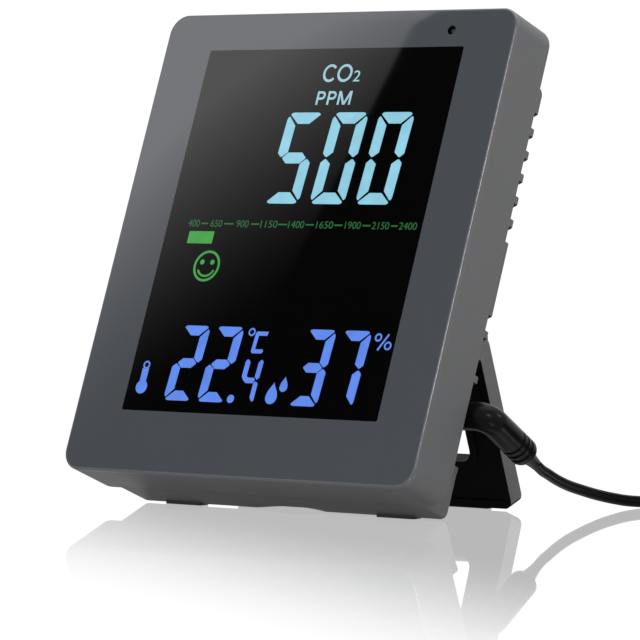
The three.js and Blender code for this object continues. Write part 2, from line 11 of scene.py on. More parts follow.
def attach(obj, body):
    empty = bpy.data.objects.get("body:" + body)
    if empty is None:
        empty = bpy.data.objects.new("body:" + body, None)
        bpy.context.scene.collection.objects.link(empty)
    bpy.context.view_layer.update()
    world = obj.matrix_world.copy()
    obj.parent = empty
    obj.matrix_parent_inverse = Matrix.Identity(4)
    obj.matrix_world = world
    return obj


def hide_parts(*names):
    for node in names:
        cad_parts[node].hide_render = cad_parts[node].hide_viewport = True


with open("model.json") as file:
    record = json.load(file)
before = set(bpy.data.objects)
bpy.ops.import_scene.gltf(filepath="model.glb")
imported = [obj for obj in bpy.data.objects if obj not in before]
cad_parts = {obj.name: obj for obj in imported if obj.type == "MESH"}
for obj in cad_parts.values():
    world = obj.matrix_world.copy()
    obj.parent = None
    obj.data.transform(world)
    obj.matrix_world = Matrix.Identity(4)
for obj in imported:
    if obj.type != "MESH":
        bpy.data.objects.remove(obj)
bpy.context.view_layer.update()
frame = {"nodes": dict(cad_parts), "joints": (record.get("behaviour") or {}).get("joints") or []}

MM = 0.001
LEAN = math.radians(21.4)  # the face leans back from the vertical
STAND_TILT = math.radians(20)
WIDTH, HEIGHT = 138, 155
LENS = 1.7  # thickness of the glossy front panel
GAP = 0.3
SHELL_DEPTH = 19
BACK = 34  # rear face of the hump
CORNER = 6.5
WALL = 2.2
HUMP_X = 59.5
HUMP_TOP = 141.5
HINGE = (37.3, 60)  # depth behind the face, height up the face
BUTTON_Z = 122
JACK_Y, JACK_Z = 25.5, 31.3
WINDOW = (100.6, 122, 0.5, 81.3)  # width, height, centre

fold = next(j for j in frame["joints"] if j["name"] == "stand_fold")
hinge = Vector(fold["pos_m"])
housing_turn = Matrix.Rotation(-LEAN, 4, "X") @ Matrix.Scale(MM, 4)
HOUSING = Matrix.Translation(hinge - housing_turn @ Vector((0, *HINGE))) @ housing_turn
STAND = Matrix.Translation(hinge) @ Matrix.Rotation(STAND_TILT, 4, "X") @ Matrix.Scale(MM, 4)
TABLE = Matrix.Scale(MM, 4)

# ---- Camera ----
CAMERA_AT = Vector((0.84684, -1.08925, 0.11404))
CAMERA_AIM = Vector((-0.61202, 0.78985, -0.03964))
camera = bpy.data.objects.new("camera", bpy.data.cameras.new("camera"))
camera.data.sensor_width = 36
camera.data.lens = 247.5
camera.data.clip_start = 0.01
camera.location = CAMERA_AT
camera.rotation_euler = CAMERA_AIM.to_track_quat("-Z", "Y").to_euler()
bpy.context.scene.collection.objects.link(camera)
bpy.context.scene.camera = camera
bpy.context.scene.view_settings.view_transform = "Standard"


# ---- Materials ----
def linear(r, g, b):
    """Display values from 0 to 255 as linear light."""
    return tuple(((c / 255 + 0.055) / 1.055) ** 2.4 if c > 10 else c / 3294.6 for c in (r, g, b))


def node(tree, kind, inputs=(), **settings):
    made = tree.nodes.new("ShaderNode" + kind)
    for key, value in settings.items():
        setattr(made, key, value)
    for key, value in dict(inputs).items():
        if isinstance(value, bpy.types.NodeSocket):
            tree.links.new(value, made.inputs[key])
        else:
            made.inputs[key].default_value = value
    return made


def surface(
    name, colour, roughness, grain=1.2, depth=0.02, vary=0.08, metallic=0.0, ior=1.5, sharp=0.06, gloss=0.5
):
    """A moulded or sprayed finish: fine grain in the bump and roughness, and slow drifts of tone.
    grain is the size of the texture in mm, and depth its height in mm."""
    material = bpy.data.materials.new(name)
    material.use_nodes = True
    tree = material.node_tree
    shader = tree.nodes["Principled BSDF"]
    shader.inputs["Metallic"].default_value = metallic
    shader.inputs["IOR"].default_value = ior
    shader.inputs["Specular IOR Level"].default_value = gloss
    where = node(tree, "TexCoord").outputs["Object"]
    grains = {"Vector": where, "Scale": 1000 / grain, "Detail": 3.0, "Roughness": 0.6}
    fine = node(tree, "TexNoise", grains)
    broad = node(tree, "TexNoise", {"Vector": where, "Scale": 28.0, "Detail": 4.0, "Roughness": 0.55})
    mixed = node(tree, "Math", {0: fine.outputs["Fac"], 1: broad.outputs["Fac"]}, operation="ADD")
    tone = node(tree, "MapRange", {"Value": mixed.outputs[0], "From Min": 0.6, "From Max": 1.4})
    low = tuple(c * (1 - vary) for c in colour)
    high = tuple(min(1, c * (1 + vary)) for c in colour)
    ramp = node(tree, "ValToRGB", {"Fac": tone.outputs["Result"]})
    ramp.color_ramp.elements[0].color = (*low, 1)
    ramp.color_ramp.elements[1].color = (*high, 1)
    tree.links.new(ramp.outputs["Color"], shader.inputs["Base Color"])
    rough = node(
        tree,
        "MapRange",
        {
            "Value": broad.outputs["Fac"],
            "From Min": 0.3,
            "From Max": 0.7,
            "To Min": max(0.01, roughness - sharp),
            "To Max": roughness + sharp,
        },
    )
    tree.links.new(rough.outputs["Result"], shader.inputs["Roughness"])
    if depth:
        bump = node(tree, "Bump", {"Height": fine.outputs["Fac"], "Distance": depth * MM, "Strength": 1.0})
        tree.links.new(bump.outputs["Normal"], shader.inputs["Normal"])
    return material


def glowing(name, colour, strength=1.0):
    """A lit part of the display, a little uneven as a backlit print is."""
    material = surface(name, (0.004, 0.004, 0.005), 0.04, depth=0, sharp=0.01)
    tree = material.node_tree
    shader = tree.nodes["Principled BSDF"]
    where = node(tree, "TexCoord").outputs["Object"]
    patches = node(tree, "TexNoise", {"Vector": where, "Scale": 160.0, "Detail": 2.0})
    ramp = node(tree, "ValToRGB", {"Fac": patches.outputs["Fac"]})
    ramp.color_ramp.elements[0].position = 0.3
    ramp.color_ramp.elements[1].position = 0.7
    ramp.color_ramp.elements[0].color = (*(c * 0.9 for c in colour), 1)
    ramp.color_ramp.elements[1].color = (*(min(1, c * 1.06) for c in colour), 1)
    tree.links.new(ramp.outputs["Color"], shader.inputs["Emission Color"])
    shader.inputs["Emission Strength"].default_value = strength
    return material


def circuit_green(name):
    """Solder mask over a web of copper traces."""
    material = surface(name, linear(24, 84, 50), 0.35, grain=0.4, depth=0.01)
    tree = material.node_tree
    shader = tree.nodes["Principled BSDF"]
    where = node(tree, "TexCoord").outputs["Object"]
    spread = {"Vector": where, "Scale": 260.0}
    cells = node(tree, "TexVoronoi", spread, feature="DISTANCE_TO_EDGE", distance="CHEBYCHEV")
    ramp = node(tree, "ValToRGB", {"Fac": cells.outputs["Distance"]})
    ramp.color_ramp.elements[0].position = 0.05
    ramp.color_ramp.elements[1].position = 0.08
    ramp.color_ramp.elements[0].color = (*linear(60, 130, 76), 1)
    ramp.color_ramp.elements[1].color = (*linear(20, 78, 46), 1)
    tree.links.new(ramp.outputs["Color"], shader.inputs["Base Color"])
    return material


PANEL_GREY = surface(
    "panel_grey", (0.0605, 0.066, 0.0755), 0.03, grain=0.5, depth=0, vary=0.03, ior=1.62, sharp=0.008
)
WINDOW_BLACK = surface("window_black", (0.0016, 0.0016, 0.0018), 0.025, grain=0.5, depth=0, sharp=0.006)
CHARCOAL = surface("charcoal_plastic", (0.063, 0.064, 0.0665), 0.52, grain=0.45, depth=0.018, vary=0.07)
CHARCOAL_SMOOTH = surface("charcoal_smooth", (0.068, 0.069, 0.071), 0.42, grain=0.6, depth=0.008, vary=0.05)
PLUG_BLACK = surface(
    "plug_black", (0.003, 0.003, 0.0032), 0.24, grain=0.5, depth=0.006, vary=0.2, gloss=0.07
)
JACKET = surface("cable_jacket", (0.004, 0.004, 0.0043), 0.3, grain=0.6, depth=0.01, vary=0.2, gloss=0.14)
# Painted shade: a near-black finish, darker than any real plastic, put on the stand's inner faces and inside
# the cover's side slots, where shade falls.
PAINTED_SHADE_BLACK = surface(
    "painted_shade_black", (0.0022, 0.0022, 0.0023), 0.5, grain=0.45, depth=0.015, vary=0.2, gloss=0.05
)
RUBBER = surface("foot_rubber", (0.03, 0.03, 0.031), 0.78, grain=0.5, depth=0.03, vary=0.2)
BLACK_PLASTIC = surface("inner_black", (0.012, 0.012, 0.013), 0.45, grain=0.5, depth=0.015, vary=0.15)
WHITE_PLASTIC = surface("inner_white", (0.74, 0.74, 0.70), 0.45, grain=0.6, depth=0.01, vary=0.04)
STEEL = surface("screw_steel", (0.2, 0.2, 0.21), 0.38, grain=0.3, depth=0.004, vary=0.1, metallic=1.0)
NICKEL = surface("nickel_plate", (0.62, 0.61, 0.58), 0.2, grain=0.4, depth=0.002, vary=0.06, metallic=1.0)
GOLD = surface("gold_plate", (0.72, 0.50, 0.20), 0.3, grain=0.4, depth=0.003, vary=0.1, metallic=1.0)
BOARD = circuit_green("board_green")


# ---- Mesh building, in millimetres ----
def outline(width, height, radius, cx=0.0, cz=0.0, arc=12):
    points = []
    for sx, sz, start in ((1, 1, 0), (-1, 1, 90), (-1, -1, 180), (1, -1, 270)):
        for i in range(arc + 1):
            angle = math.radians(start + 90 * i / arc)
            points.append(
                (
                    cx + sx * (width / 2 - radius) + radius * math.cos(angle),
                    cz + sz * (height / 2 - radius) + radius * math.sin(angle),
                )
            )
    return points


def skin(bm, rings, ends=True, loop=False, index=0):
    """Joins rings of equal length with quads. Returns the rings' vertices."""
    rows = [[bm.verts.new(p) for p in ring] for ring in rings]
    pairs = list(zip(rows, rows[1:])) + ([(rows[-1], rows[0])] if loop else [])
    for a, b in pairs:
        for i in range(len(a)):
            j = (i + 1) % len(a)
            bm.faces.new((a[i], a[j], b[j], b[i])).material_index = index
    if ends and not loop:
        bm.faces.new(rows[0]).material_index = index
        bm.faces.new(rows[-1]).material_index = index
    return rows


def loft(bm, width, height, radius, cx, cz, sections, arc=12):
    """Rounded rectangles (x across, z up) at depths y, each shrunk by its inset."""
    rings = []
    for y, inset in sections:
        shape = outline(width - 2 * inset, height - 2 * inset, max(radius - inset, 0.05), cx, cz, arc)
        rings.append([(x, y, z) for x, z in shape])
    return skin(bm, rings)


def turned(bm, profile, at, axis, sides=40):
    """A profile of (radius, distance) turned about an axis through a point."""
    axis = Vector(axis).normalized()
    side = axis.orthogonal().normalized()
    other = axis.cross(side)
    rings = []
    for radius, distance in profile:
        centre = Vector(at) + axis * distance
        turn = [2 * math.pi * i / sides for i in range(sides)]
        rings.append([centre + (side * math.cos(a) + other * math.sin(a)) * max(radius, 0.004) for a in turn])
    return skin(bm, rings)


def block(bm, x0, x1, y0, y1, z0, z1):
    rings = [[(x0, y, z0), (x1, y, z0), (x1, y, z1), (x0, y, z1)] for y in (y0, y1)]
    return skin(bm, rings)


def prism(bm, shape, front=-0.05, back=0.03):
    return skin(bm, [[(x, y, z) for x, z in shape] for y in (back, front)])


def solid(build, *args, **kwargs):
    """A new mesh object, in millimetres, for use in carve()."""
    bm = bmesh.new()
    build(bm, *args, **kwargs)
    bmesh.ops.recalc_face_normals(bm, faces=bm.faces)
    mesh = bpy.data.meshes.new("tool")
    bm.to_mesh(mesh)
    bm.free()
    tool = bpy.data.objects.new("tool", mesh)
    bpy.context.scene.collection.objects.link(tool)
    return tool


def carve(base, steps):
    """Applies (operation, tool) in order to base, and returns a bmesh of the result."""
    tools = []
    for operation, tool in steps:
        change = base.modifiers.new("step", "BOOLEAN")
        change.operation = operation
        change.solver = "MANIFOLD"
        change.object = tool
        tools.append(tool)
    done = base.evaluated_get(bpy.context.evaluated_depsgraph_get())
    mesh = bpy.data.meshes.new_from_object(done)
    bm = bmesh.new()
    bm.from_mesh(mesh)
    for thing in [base, *tools]:
        bpy.data.objects.remove(thing)
    bmesh.ops.remove_doubles(bm, verts=bm.verts, dist=2e-4)
    bmesh.ops.dissolve_limit(bm, angle_limit=math.radians(0.4), verts=bm.verts, edges=bm.edges)
    return bm


def soften(bm, width, segments=2, angle=38):
    """Rounds every edge sharper than angle."""
    bm.normal_update()
    edges = [e for e in bm.edges if e.is_manifold and e.calc_face_angle(0) > math.radians(angle)]
    bmesh.ops.bevel(
        bm, geom=edges, offset=width, segments=segments, profile=0.5, affect="EDGES", clamp_overlap=True
    )
    return bm


def finish_mesh(name, bm, place, body, materials, replaces=(), sharp=50):
    bm.transform(place)
    bmesh.ops.recalc_face_normals(bm, faces=bm.faces)
    mesh = bpy.data.meshes.new(name)
    bm.to_mesh(mesh)
    bm.free()
    for material in materials:
        mesh.materials.append(material)
    mesh.polygons.foreach_set("use_smooth", [True] * len(mesh.polygons))
    mesh.set_sharp_from_angle(angle=math.radians(sharp))
    piece = bpy.data.objects.new(name, mesh)
    bpy.context.scene.collection.objects.link(piece)
    even = piece.modifiers.new("even_shading", "WEIGHTED_NORMAL")
    even.keep_sharp = True
    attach(piece, body)
    if replaces:
        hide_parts(*replaces)
    return piece


# ---- Power lead, first because its room depends on the camera ----
DROOP = math.radians(10.6)
ELBOW_X = 72
HANDLE = 24
RELIEF = 6
CORD_WIDTH = 3.6
CORE_RADIUS = 1.02
CORE_OFFSET = CORD_WIDTH / 2 - CORE_RADIUS
TABLE_SHIFT = -41.405  # from the lead's layout to the row frame, along Y
COIL_X, COIL_Y = 111, 114 + TABLE_SHIFT
TURN_RADII = (16.3, 20.0, 23.7)
LAYERS = (3.05, 6.75, 10.45, 14.15)
# Each turn of the coil: which radius and which layer.
TURNS = [(2, 0), (1, 0), (0, 0), (0, 1), (1, 1), (2, 1), (2, 2), (1, 2), (0, 2), (1, 3), (2, 3)]
LEAD_OUT = [
    (72.0, 66.4, 12.9),
    (72.1, 71.6, 10.6),
    (72.3, 77.5, 8.5),
    (72.8, 84.0, 6.7),
    (73.8, 90.4, 5.0),
    (75.6, 96.8, 3.5),
    (78.4, 103.2, 2.3),
    (82.4, 109.6, 1.95),
]
LEAD_IN = [
    (134.9, 97.0, 12.2),
    (134.0, 90.5, 8.6),
    (133.0, 83.5, 4.8),
    (133.0, 75.0, 2.4),
    (136.6, 65.3, 1.95),
    (145.2, 61.6, 1.95),
    (153.6, 65.3, 3.6),
    (157.3, 71.2, 5.8),
    (157.5, 75.2, 7.0),
    (157.5, 77.5, 7.0),
]


def along_handle(distance):
    local = Vector((ELBOW_X, JACK_Y + distance * math.cos(DROOP), JACK_Z - distance * math.sin(DROOP)))
    return HOUSING @ local / MM


def coil_points():
    """Turns lie beside and on each other, stepping to the next place over the last part of each turn."""
    per_turn = 30
    points = []
    places = [(TURN_RADII[r], LAYERS[z]) for r, z in TURNS]
    for k, (radius, z) in enumerate(places):
        last = k == len(places) - 1
        following = places[k] if last else places[k + 1]
        for i in range(per_turn // 2 + 1 if last else per_turn):
            share = i / per_turn
            blend = min(max((share - 0.78) / 0.22, 0), 1)
            blend = blend * blend * (3 - 2 * blend)
            r = radius + (following[0] - radius) * blend
            angle = math.pi - 2 * math.pi * share
            points.append(
                Vector((
                    COIL_X + r * math.cos(angle),
                    COIL_Y + r * math.sin(angle),
                    z + (following[1] - z) * blend,
                ))
            )
    return points


def smooth_path(points, spacing):
    """A Catmull-Rom curve through the points, resampled at an even spacing."""
    ends = [points[0] * 2 - points[1], *points, points[-1] * 2 - points[-2]]
    fine = []
    for a, b, c, d in zip(ends, ends[1:], ends[2:], ends[3:]):
        for i in range(24):
            t = i / 24
            fine.append(
                0.5
                * (2 * b + (c - a) * t + (2 * a - 5 * b + 4 * c - d) * t * t + (3 * b - a - 3 * c + d) * t**3)
            )
    fine.append(points[-1])
    path = [fine[0]]
    carried = 0.0
    for a, b in zip(fine, fine[1:]):
        step = (b - a).length
        while carried + step >= spacing:
            a = a + (b - a) * ((spacing - carried) / step)
            path.append(a)
            step = (b - a).length
            carried = 0.0
        carried += step
    path.append(fine[-1])
    return path


def shifted(rows):
    return [Vector((x, y + TABLE_SHIFT, z)) for x, y, z in rows]


route = [along_handle(HANDLE + RELIEF - 1), along_handle(HANDLE + RELIEF + 4)]
route += shifted(LEAD_OUT) + coil_points() + shifted(LEAD_IN)
lead_path = smooth_path(route, 1.2)


def lead_section(points=9):
    """The figure-of-eight outline of a twin lead: (across, thickness)."""
    waist = math.acos(CORE_OFFSET / CORE_RADIUS) + 0.12
    shape = []
    for side in (1, -1):
        for i in range(points):
            angle = -math.pi + waist + (2 * math.pi - 2 * waist) * i / (points - 1)
            across = CORE_OFFSET + CORE_RADIUS * math.cos(angle)
            shape.append((side * across, side * CORE_RADIUS * math.sin(angle)))
    return shape


def lead_mesh():
    """The lead stands on its edge all along, as it comes out of the plug."""
    section = lead_section()
    bm = bmesh.new()
    rings = []
    for i, point in enumerate(lead_path):
        ahead = lead_path[min(i + 1, len(lead_path) - 1)]
        behind = lead_path[max(i - 1, 0)]
        tangent = (ahead - behind).normalized()
        side = tangent.cross(Vector((0, 0, 1))).normalized()
        up = side.cross(tangent)
        rings.append([point + up * u - side * v for u, v in section])
    skin(bm, rings)
    return bm


lead = finish_mesh(
    "power_lead",
    lead_mesh(),
    TABLE,
    "housing",
    [JACKET],
    replaces=("cord", "cord_tail", "cord_coil"),
    sharp=60,
)

# ---- Adapter and tie ----
ADAPTER_X, ADAPTER_Y = 157.5, 112 + TABLE_SHIFT
SPLIT = 12


def adapter_half(bm, sections):
    rings = []
    for z, inset in sections:
        shape = outline(34 - 2 * inset, 56 - 2 * inset, 5 - min(inset, 4), ADAPTER_X, ADAPTER_Y, 12)
        rings.append([(x, y, z) for x, y in shape])
    skin(bm, rings)


def edge_round(level, radius, towards, steps=5):
    """(height, inset) pairs that round an edge at level, the solid lying on the towards side."""
    pairs = []
    for i in range(steps + 1):
        angle = math.pi / 2 * i / steps
        pairs.append((level + towards * radius * (1 - math.cos(angle)), radius * (1 - math.sin(angle))))
    return pairs


def adapter_base():
    bm = bmesh.new()
    adapter_half(bm, edge_round(0, 1.6, 1) + [(SPLIT - 0.25, 0), (SPLIT, 0.25)])
    return bm


def adapter_cover():
    bm = bmesh.new()
    sections = [(SPLIT + GAP, 0.25), (SPLIT + GAP + 0.25, 0)]
    sections += [(z, i) for z, i in reversed(edge_round(27, 1.8, -1))]
    adapter_half(bm, sections)
    # The raised socket face that the pins stand on.
    rings = []
    for z, inset in ((26.6, 0), (27.0, 0), (27.25, 0.15)):
        shape = outline(27 - 2 * inset, 13 - 2 * inset, 6.4 - inset, ADAPTER_X, ADAPTER_Y + 12, 12)
        rings.append([(x, y, z) for x, y in shape])
    skin(bm, rings)
    return bm


def adapter_pin(side):
    bm = bmesh.new()
    at = (ADAPTER_X + side * 9.5, ADAPTER_Y + 12, 27.3)
    # An insulated root, then the bare pin with a rounded tip.
    turned(bm, [(0, 0), (2.0, 0), (2.0, 9.8), (1.85, 10), (0, 10)], at, (0, 0, 1))
    bare = [(0, 9.9), (1.95, 9.9), (2.0, 10.1), (2.0, 16.6)]
    bare += [(2.0 * math.cos(a), 16.6 + 2.1 * math.sin(a)) for a in (0.3, 0.6, 0.9, 1.2, 1.45)]
    before = len(bm.faces)
    turned(bm, [*bare, (0, 18.7)], at, (0, 0, 1))
    bm.faces.ensure_lookup_table()
    for face in bm.faces[before:]:
        face.material_index = 1
    return bm


def adapter_relief():
    bm = bmesh.new()
    at = (ADAPTER_X, ADAPTER_Y - 28 - GAP, 7)
    profile = [(0, 0), (3.3, 0), (3.4, 0.4)]
    for i in range(4):
        start = 1.2 + i * 1.6
        radius = 3.3 - 0.27 * i
        groove = radius - 0.45
        profile += [(radius, start), (groove, start + 0.2), (groove, start + 0.7)]
        profile.append((radius - 0.1, start + 0.9))
    profile += [(2.15, 7.6), (1.9, 8.0), (0, 8.0)]
    turned(bm, profile, at, (0, -1, 0))
    return bm


def coil_tie():
    """A strap round one side of the coil, with rounded corners."""
    bm = bmesh.new()
    near = COIL_Y + math.sqrt(14.3**2 - 16) - 0.7
    far = COIL_Y + 25.7 + 0.7
    low, high = 0.55, 16.85
    loop = outline(far - near, high - low, 2.2, (near + far) / 2, (low + high) / 2, 6)
    inner = outline(far - near - 1.4, high - low - 1.4, 1.6, (near + far) / 2, (low + high) / 2, 6)
    outer_rows = [[(COIL_X + x, y, z) for y, z in loop] for x in (-4, 4)]
    inner_rows = [[(COIL_X + x, y, z) for y, z in inner] for x in (4, -4)]
    skin(bm, [*outer_rows, *inner_rows], loop=True)
    return bm


adapter_pieces = [
    finish_mesh(name, bm, TABLE, "housing", [finish], [stands_for])
    for name, bm, slot, finish, stands_for in (
        ("adapter_shell_low", adapter_base(), "plug_plastic", PLUG_BLACK, "adapter_base"),
        ("adapter_shell_high", adapter_cover(), "plug_plastic", PLUG_BLACK, "adapter_cover"),
        ("adapter_grip", adapter_relief(), "cable_jacket", JACKET, "adapter_relief"),
        ("coil_strap", soften(coil_tie(), 0.25), "cable_jacket", JACKET, "cord_tie"),
    )
]
for side, number in ((-1, 1), (1, 2)):
    adapter_pieces.append(
        finish_mesh(
            f"mains_pin_{number}",
            adapter_pin(side),
            TABLE,
            "housing",
            [PLUG_BLACK, NICKEL],
            [f"adapter_pin_{number}"],
        )
    )


# ---- Front panel ----
def front_panel():
    """The glossy panel: a printed border round the black window, and the hole of the indicator."""
    bm = bmesh.new()
    rows = loft(
        bm,
        WIDTH,
        HEIGHT,
        CORNER,
        0,
        HEIGHT / 2,
        [(0, 0.8), (0.05, 0.5), (0.18, 0.27), (0.4, 0.09), (0.75, 0), (LENS, 0)],
        16,
    )
    bmesh.ops.delete(bm, geom=[f for f in bm.faces if len(f.verts) > 4], context="FACES_ONLY")
    for face in bm.faces:
        if min(v.co.y for v in face.verts) > 0.35:
            face.material_index = 2
    width, height, cx, cz = WINDOW
    window = [bm.verts.new((x, 0, z)) for x, z in outline(width, height, 0.7, cx, cz, 5)]
    hole = []
    for y in (0.0, LENS):
        ring = [2 * math.pi * i / 32 for i in range(32)]
        hole.append([bm.verts.new((44.6 + 1.5 * math.cos(a), y, 147.8 + 1.5 * math.sin(a))) for a in ring])

    def edges(loop):
        made = []
        for a, b in zip(loop, loop[1:] + loop[:1]):
            made.append(bm.edges.get((a, b)) or bm.edges.new((a, b)))
        return made

    bm.faces.new(window).material_index = 1
    bmesh.ops.triangle_fill(bm, edges=edges(rows[0]) + edges(window) + edges(hole[0]), use_beauty=True)
    bmesh.ops.triangle_fill(bm, edges=edges(rows[-1]) + edges(hole[1]), use_beauty=True)
    for a, b in zip(hole, hole[1:]):
        for i in range(32):
            j = (i + 1) % 32
            bm.faces.new((a[i], a[j], b[j], b[i])).material_index = 1
    return bm


panel_finishes = [PANEL_GREY, WINDOW_BLACK, CHARCOAL_SMOOTH]
finish_mesh("front_panel", front_panel(), HOUSING, "housing", panel_finishes, ["front_lens"])


def indicator():
    bm = bmesh.new()
    profile = [(1.35, 4.2), (1.35, 1.4)]
    profile += [(1.35 * math.cos(a), 1.4 - 0.75 * math.sin(a)) for a in (0.2, 0.45, 0.7, 0.95, 1.2, 1.4)]
    turned(bm, [(0, 4.2), *profile, (0, 0.65)], (44.6, 0, 147.8), (0, 1, 0), 28)
    return bm


finish_mesh(
    "indicator_dome", indicator(), HOUSING, "housing", [WINDOW_BLACK], ["light_pipe"]
)


# ---- What the display shows ----
def seven_segments(x, z, width, height, thick, shown, slant=0.047):
    """Outlines of a slanted seven-segment digit. x is its left edge at mid-height, z its foot."""
    w, h, t, m = width, height, thick, height / 2
    upper_left = [
        (0, h - 0.7 * t), (0.03 * t, h - 0.53 * t), (0.1 * t, h - 0.41 * t), (0.2 * t, h - 0.36 * t),
        (t, h - 1.16 * t), (t, m + 0.5 * t), (0.5 * t, m + 0.12 * t), (0.4 * t, m + 0.09 * t),
        (0.3 * t, m + 0.14 * t), (0, m + 0.42 * t),
    ]
    half_top = [(1.2 * t, h - t), (0.27 * t, h - 0.21 * t)]
    half_top += [(0.3 * t, h - 0.1 * t), (0.42 * t, h - 0.03 * t), (0.6 * t, h)]
    top = half_top + [(w - u, v) for u, v in reversed(half_top)]
    half_middle = [(1.08 * t, m - 0.48 * t), (0.6 * t, m - 0.06 * t)]
    half_middle += [(0.6 * t, m + 0.06 * t), (1.08 * t, m + 0.48 * t)]
    middle = half_middle + [(w - u, v) for u, v in reversed(half_middle)]
    shapes = {
        "a": top,
        "f": upper_left,
        "b": [(w - u, v) for u, v in upper_left],
        "e": [(u, h - v) for u, v in upper_left],
        "c": [(w - u, h - v) for u, v in upper_left],
        "d": [(u, h - v) for u, v in top],
        "g": middle,
    }
    return [[(x + u + (v - m) * slant, z + v) for u, v in shapes[key]] for key in shown]


def circle(x, z, radius, count=28):
    turn = [2 * math.pi * i / count for i in range(count)]
    return [(x + radius * math.cos(a), z + radius * math.sin(a)) for a in turn]


def arc_points(x, z, radius, start, end, count=16):
    turn = [math.radians(start + (end - start) * i / (count - 1)) for i in range(count)]
    return [(x + radius * math.cos(a), z + radius * math.sin(a)) for a in turn]


def stroke(points, width):
    """The outline of a line of that width through the points."""
    left, right = [], []
    for i, (x, z) in enumerate(points):
        before = points[max(i - 1, 0)]
        after = points[min(i + 1, len(points) - 1)]
        direction = Vector((after[0] - before[0], after[1] - before[1])).normalized()
        bend = 1.0
        if 0 < i < len(points) - 1:
            arriving = Vector((x - before[0], z - before[1])).normalized()
            bend = 1 / max(0.5, arriving.dot(direction))
        nx, nz = -direction.y * width / 2 * bend, direction.x * width / 2 * bend
        left.append((x + nx, z + nz))
        right.append((x - nx, z - nz))
    return left + right[::-1]


def ring_band(bm, x, z, outer, inner, front=-0.05, back=0.03):
    rings = []
    for radius, y in ((outer, back), (outer, front), (inner, front), (inner, back)):
        rings.append([(px, y, pz) for px, pz in circle(x, z, radius, 40)])
    skin(bm, rings, loop=True)


def drop(x, z, radius, tip):
    """A water drop: a round foot drawn up to a point."""
    height = tip - z
    points = [(x, tip)]
    for i in range(1, 6):
        share = i / 6
        half = radius * 0.97 * math.sin(share * math.pi / 2) ** 1.35
        points.append((x + half, tip - share * height * 0.93))
    points += arc_points(x, z, radius, 5, -185, 22)
    for i in range(5, 0, -1):
        share = i / 6
        half = radius * 0.97 * math.sin(share * math.pi / 2) ** 1.35
        points.append((x - half, tip - share * height * 0.93))
    return points


def lettering(bm, text, x0, x1, z0, z1, weight=0.0):
    """Plain sans letters fitted to a box on the face."""
    curve = bpy.data.curves.new("letters", "FONT")
    curve.body = text
    curve.extrude = 0.02
    curve.offset = weight
    holder = bpy.data.objects.new("letters", curve)
    bpy.context.scene.collection.objects.link(holder)
    bpy.context.view_layer.update()
    mesh = bpy.data.meshes.new_from_object(holder.evaluated_get(bpy.context.evaluated_depsgraph_get()))
    bpy.data.objects.remove(holder)
    xs = [v.co.x for v in mesh.vertices]
    ys = [v.co.y for v in mesh.vertices]
    fit_x = (x1 - x0) / (max(xs) - min(xs))
    fit_z = (z1 - z0) / (max(ys) - min(ys))
    for v in mesh.vertices:
        v.co = (
            x0 + (v.co.x - min(xs)) * fit_x,
            -0.05 if v.co.z > 0 else 0.03,
            z0 + (v.co.y - min(ys)) * fit_z,
        )
    bm.from_mesh(mesh)
    bpy.data.meshes.remove(mesh)


def shown(name, material, shapes=(), rings=(), texts=()):
    """One lit group of the display, as thin raised print on the window."""
    bm = bmesh.new()
    for shape in shapes:
        prism(bm, shape)
    for ring in rings:
        ring_band(bm, *ring)
    for text in texts:
        lettering(bm, *text)
    return finish_mesh(name, bm, HOUSING, "housing", [material], sharp=30)


CYAN = glowing("lit_cyan", linear(146, 207, 228))
PALE_CYAN = glowing("lit_pale_cyan", linear(158, 200, 212))
BLUE = glowing("lit_blue", linear(98, 140, 238))
GREEN = glowing("lit_green", linear(70, 160, 74))
DIM_GREEN = glowing("lit_dim_green", linear(44, 104, 56))

BIG = (90.0, 13.65, 30.6, 3.8)  # foot, width, height, thickness
SMALL = (24.1, 11.0, 24.8, 3.25)


def big_digit(x, keys):
    z, width, height, thick = BIG
    return seven_segments(x, z, width, height, thick, keys)


def small_digit(x, keys):
    z, width, height, thick = SMALL
    return seven_segments(x, z, width, height, thick, keys)


SMALL_FOUR = [
    [
        (-4.75, 37.8), (-4.2, 38.4), (-3.7, 38.4), (-2.9, 37.6), (-3.1, 33.1), (-2.5, 32.55),
        (0.0, 32.55), (0.5, 31.7), (-0.2, 30.75), (-2.9, 30.75), (-4.2, 31.7), (-4.95, 32.9),
    ],
    [(0.4, 37.5), (1.1, 38.3), (1.7, 38.4), (2.25, 37.8), (2.0, 32.7), (1.1, 31.9), (0.2, 32.9)],
    [(0.15, 30.9), (0.95, 31.4), (1.9, 30.7), (1.75, 25.4), (1.4, 24.9), (0.95, 24.9), (0.05, 26.1)],
]
CELSIUS = [
    (1.5, 47.65), (-2.9, 47.65), (-3.4, 47.2), (-3.8, 41.1), (-3.3, 40.5), (0.4, 40.5),
    (1.0, 41.3), (0.6, 41.85), (-2.35, 41.85), (-2.05, 46.3), (1.15, 46.3),
]


def letter_p(x):
    """Stem and bowl of a P standing on the unit's baseline."""
    stem = [(x, 123.2), (x + 0.75, 123.2), (x + 0.75, 127.8), (x, 127.8)]
    bowl = [(x + 0.35, 127.4), (x + 1.9, 127.4), *arc_points(x + 1.9, 126.35, 1.05, 80, -80, 9)]
    bowl += [(x + 1.9, 125.3), (x + 0.35, 125.3)]
    return [stem, stroke(bowl, 0.75)]


def letter_m(x, width=5.2):
    legs = [[(a, 123.2), (a + 0.75, 123.2), (a + 0.75, 127.8), (a, 127.8)] for a in (x, x + width - 0.75)]
    middle = x + width / 2
    left = [(x, 127.8), (x + 0.95, 127.8), (middle + 0.42, 123.2), (middle - 0.42, 123.2)]
    return [*legs, left, [(2 * middle - a, b) for a, b in left]]


def ellipse_arc(x, z, wide, high, start, end, count=28):
    turn = [math.radians(start + (end - start) * i / (count - 1)) for i in range(count)]
    return [(x + wide * math.cos(a), z + high * math.sin(a)) for a in turn]


